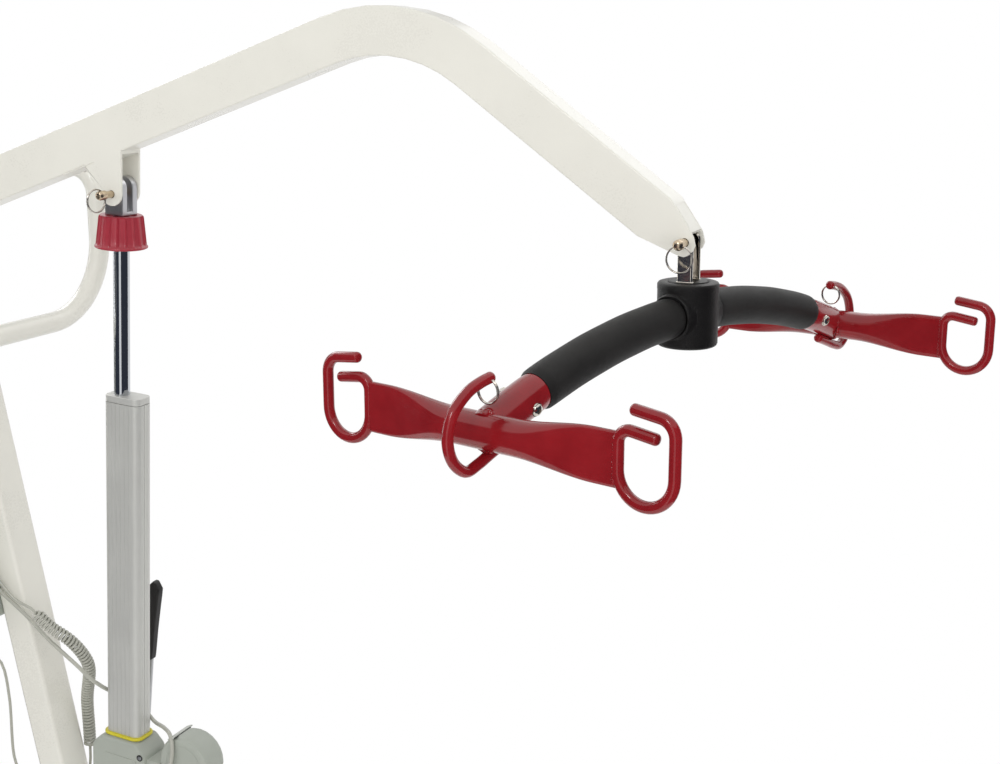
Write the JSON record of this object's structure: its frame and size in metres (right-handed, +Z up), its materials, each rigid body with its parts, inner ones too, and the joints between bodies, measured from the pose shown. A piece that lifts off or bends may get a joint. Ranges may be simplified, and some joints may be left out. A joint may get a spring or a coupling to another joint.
{
  "type": "electric patient lift",
  "caption": "Wheeled patient lift: leaning mast, bent boom raised by a linear actuator, swivelling spreader bar with open sling hooks, spreading legs.",
  "frame": {"origin": "on the floor, below the middle of the lift's length and width", "axes": "+X the way the boom reaches, +Y the left side as the attendant stands behind it, +Z up"},
  "size_m": [1.6068, 0.8395, 1.6732],
  "materials": {
    "off_white_paint": "satin powder coat",
    "deep_red_paint": "gloss",
    "foam": "matte closed cell foam",
    "moulded_black": "fine texture",
    "bright_steel": "ground",
    "plated": "bright plated",
    "aluminium": "anodised",
    "collar_red": "moulded",
    "seal_yellow": "moulded",
    "housing_grey": "moulded",
    "handset_grey": "moulded",
    "stop_red": "moulded",
    "caster_grey": "moulded",
    "wheel_rubber": "non-marking grey",
    "cord_grey": "sheathed"
  },
  "bodies": {
    "frame": {"mast": "off_white_paint", "lower_bolt_left": "bright_steel", "lower_bolt_right": "bright_steel", "push_handle": "off_white_paint", "handle_grip_left": "moulded_black", "handle_grip_right": "moulded_black", "base_frame": "off_white_paint", "leg_bolt_left": "bright_steel", "leg_bolt_right": "bright_steel", "boom_pivot_bolt": "bright_steel", "control_box": "housing_grey", "handset": "handset_grey", "handset_plug": "cord_grey", "handset_lead": "cord_grey", "handset_coil": "cord_grey", "handset_tail": "cord_grey", "actuator_lead": "cord_grey"},
    "boom": {"boom": "off_white_paint"},
    "upper_pin": {"actuator_pin": "plated"},
    "upper_pin_ring": {"actuator_pin_ring": "plated"},
    "hanger_pin": {"boom_pin": "plated"},
    "hanger_pin_ring": {"boom_pin_ring": "plated"},
    "actuator_rod": {"rod_fork": "bright_steel", "piston_rod": "bright_steel"},
    "lowering_collar": {"release_collar": "collar_red"},
    "actuator_body": {"actuator_tube": "aluminium", "tube_cap": "aluminium", "seal_ring": "seal_yellow", "gearbox": "housing_grey", "motor_housing": "housing_grey", "motor_lead": "cord_grey"},
    "hanger": {"hanger": "plated"},
    "spreader": {"spreader_hub": "moulded_black", "centre_bar": "bright_steel", "sleeve_near": "foam", "sleeve_far": "foam", "crossbar_near": "deep_red_paint", "crossbar_far": "deep_red_paint", "spreader_bolt_near": "plated", "spreader_bolt_far": "plated"},
    "near_hook_ring": {"hook_ring_near": "plated"},
    "far_hook_ring": {"hook_ring_far": "plated"},
    "spreading_lever": {"leg_lever": "bright_steel", "leg_lever_grip": "moulded_black"},
    "left_leg": {"leg_left": "off_white_paint"},
    "right_leg": {"leg_right": "off_white_paint"},
    "battery_pack": {"battery": "housing_grey"},
    "stop_button": {"emergency_stop": "stop_red"},
    "up_button": {"handset_up_button": "housing_grey"},
    "down_button": {"handset_down_button": "housing_grey"},
    "left_front_caster": {"caster_fork_front_left": "caster_grey"},
    "left_front_wheel": {"wheel_front_left": "wheel_rubber"},
    "left_rear_caster": {"caster_fork_rear_left": "caster_grey"},
    "left_rear_wheel": {"wheel_rear_left": "wheel_rubber"},
    "left_brake": {"brake_pedal_left": "moulded_black"},
    "right_front_caster": {"caster_fork_front_right": "caster_grey"},
    "right_front_wheel": {"wheel_front_right": "wheel_rubber"},
    "right_rear_caster": {"caster_fork_rear_right": "caster_grey"},
    "right_rear_wheel": {"wheel_rear_right": "wheel_rubber"},
    "right_brake": {"brake_pedal_right": "moulded_black"}
  },
  "joints": [
    {"name": "boom_hinge", "type": "hinge", "parent": "frame", "child": "boom", "pos_m": [-0.67468, 0, 1.3903], "axis": [0, -1, 0], "range_deg": [-33.5, 17]},
    {"name": "piston_pivot", "type": "hinge", "parent": "boom", "child": "actuator_rod", "pos_m": [-0.3295, 0, 1.42685], "axis": [0, -1, 0], "range_deg": [-17, 33.3]},
    {"name": "tube_slide", "type": "slide", "parent": "actuator_rod", "child": "actuator_body", "axis": [-0.0673, 0, -0.9977], "range_m": [-0.1975, 0.1005]},
    {"name": "collar_turn", "type": "hinge", "parent": "actuator_rod", "child": "lowering_collar", "pos_m": [-0.33287, 0, 1.37696], "axis": [-0.0673, 0, -0.9977], "range_deg": [0, 90]},
    {"name": "upper_pin_play", "type": "slide", "parent": "boom", "child": "upper_pin", "axis": [0, 1, 0], "range_m": [0, 0.012]},
    {"name": "hanger_pin_play", "type": "slide", "parent": "boom", "child": "hanger_pin", "axis": [0, 1, 0], "range_m": [0, 0.012]},
    {"name": "upper_pin_ring_swing", "type": "hinge", "parent": "upper_pin", "child": "upper_pin_ring", "pos_m": [-0.3295, -0.0353, 1.42685], "axis": [1, 0, 0], "range_deg": [-80, 2]},
    {"name": "hanger_pin_ring_swing", "type": "hinge", "parent": "hanger_pin", "child": "hanger_pin_ring", "pos_m": [0.48565, -0.0353, 1.4053], "axis": [1, 0, 0], "range_deg": [-80, 2]},
    {"name": "hanger_swing", "type": "hinge", "parent": "boom", "child": "hanger", "pos_m": [0.48565, 0, 1.4053], "axis": [0, -1, 0], "range_deg": [-35, 35]},
    {"name": "spreader_swivel", "type": "hinge", "parent": "hanger", "child": "spreader", "pos_m": [0.48565, 0, 1.32], "axis": [0, 0, 1], "continuous": true},
    {"name": "near_ring_swing", "type": "hinge", "parent": "spreader", "child": "near_hook_ring", "pos_m": [0.39041, -0.35235, 1.309], "axis": [0.9654, -0.2609, 0], "range_deg": [-45, 45]},
    {"name": "far_ring_swing", "type": "hinge", "parent": "spreader", "child": "far_hook_ring", "pos_m": [0.5809, 0.35235, 1.309], "axis": [0.9654, -0.2609, 0], "range_deg": [-45, 45]},
    {"name": "lever_tilt", "type": "hinge", "parent": "frame", "child": "spreading_lever", "pos_m": [-0.47043, 0.1, 0.176], "axis": [0, -1, 0], "range_deg": [0, 20]},
    {"name": "left_leg_spread", "type": "hinge", "parent": "frame", "child": "left_leg", "pos_m": [-0.43443, 0.215, 0.144], "axis": [0, 0, 1], "range_deg": [0, 9.5]},
    {"name": "right_leg_spread", "type": "hinge", "parent": "frame", "child": "right_leg", "pos_m": [-0.43443, -0.215, 0.144], "axis": [0, 0, -1], "range_deg": [0, 9.5]},
    {"name": "left_front_swivel", "type": "hinge", "parent": "left_leg", "child": "left_front_caster", "pos_m": [0.55057, 0.29, 0.104], "axis": [0, 0, 1], "continuous": true},
    {"name": "left_front_roll", "type": "hinge", "parent": "left_front_caster", "child": "left_front_wheel", "pos_m": [0.52457, 0.29, 0.0375], "axis": [0, 1, 0], "continuous": true},
    {"name": "left_rear_swivel", "type": "hinge", "parent": "frame", "child": "left_rear_caster", "pos_m": [-0.59943, 0.165, 0.127], "axis": [0, 0, 1], "continuous": true},
    {"name": "left_rear_roll", "type": "hinge", "parent": "left_rear_caster", "child": "left_rear_wheel", "pos_m": [-0.62543, 0.165, 0.05], "axis": [0, 1, 0], "continuous": true},
    {"name": "left_brake_press", "type": "hinge", "parent": "left_rear_caster", "child": "left_brake", "pos_m": [-0.66502, 0.165, 0.0896], "axis": [0, -1, 0], "range_deg": [0, 20]},
    {"name": "right_front_swivel", "type": "hinge", "parent": "right_leg", "child": "right_front_caster", "pos_m": [0.55057, -0.29, 0.104], "axis": [0, 0, 1], "continuous": true},
    {"name": "right_front_roll", "type": "hinge", "parent": "right_front_caster", "child": "right_front_wheel", "pos_m": [0.52457, -0.29, 0.0375], "axis": [0, 1, 0], "continuous": true},
    {"name": "right_rear_swivel", "type": "hinge", "parent": "frame", "child": "right_rear_caster", "pos_m": [-0.59943, -0.165, 0.127], "axis": [0, 0, 1], "continuous": true},
    {"name": "right_rear_roll", "type": "hinge", "parent": "right_rear_caster", "child": "right_rear_wheel", "pos_m": [-0.62543, -0.165, 0.05], "axis": [0, 1, 0], "continuous": true},
    {"name": "right_brake_press", "type": "hinge", "parent": "right_rear_caster", "child": "right_brake", "pos_m": [-0.66502, -0.165, 0.0896], "axis": [0, -1, 0], "range_deg": [0, 20]},
    {"name": "battery_lift", "type": "slide", "parent": "frame", "child": "battery_pack", "axis": [-0.1905, 0, 0.9817], "range_m": [0, 0.16]},
    {"name": "stop_press", "type": "slide", "parent": "frame", "child": "stop_button", "axis": [0.9817, 0, 0.1905], "range_m": [0, 0.004], "stiffness_N_per_m": 900},
    {"name": "up_press", "type": "slide", "parent": "frame", "child": "up_button", "axis": [1, 0, 0], "range_m": [0, 0.0015], "stiffness_N_per_m": 500},
    {"name": "down_press", "type": "slide", "parent": "frame", "child": "down_button", "axis": [1, 0, 0], "range_m": [0, 0.0015], "stiffness_N_per_m": 500}
  ],
  "couplings": [
    {"joint": "piston_pivot", "follows": "boom_hinge", "ratio": -0.98838},
    {"joint": "tube_slide", "follows": "boom_hinge", "m_per_rad": 0.33698},
    {"joint": "left_leg_spread", "follows": "lever_tilt", "ratio": 0.475},
    {"joint": "right_leg_spread", "follows": "lever_tilt", "ratio": 0.475}
  ]
}
